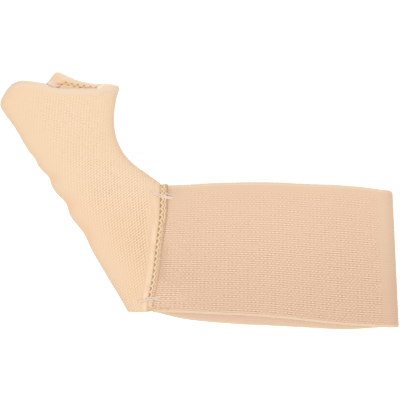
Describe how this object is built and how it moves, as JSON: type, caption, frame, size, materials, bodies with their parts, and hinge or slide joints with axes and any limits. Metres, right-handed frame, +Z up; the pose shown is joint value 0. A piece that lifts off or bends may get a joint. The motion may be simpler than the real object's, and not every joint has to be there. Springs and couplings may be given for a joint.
{
  "type": "thumb brace",
  "caption": "Soft thumb brace: a knitted sleeve for the thumb sewn to a wide elastic hand loop, lying flat with open mouth, finger and wrist ends.",
  "frame": {"origin": "middle of the footprint, on the surface the brace lies on", "axes": "+X from the sleeve towards the fold of the hand loop, +Y the way the thumb leaves the sleeve, +Z up from the back panel to the front panel"},
  "size_m": [0.133, 0.0862, 0.0097],
  "materials": {
    "knit": "matte fine knit, peach beige",
    "elastic": "matte knitted elastic, dusty peach",
    "thread": "sewing thread, cream"
  },
  "bodies": {
    "root": {"thumb_sleeve": "knit", "hand_loop": "elastic", "front_seam": "thread", "back_seam": "thread"}
  },
  "joints": []
}
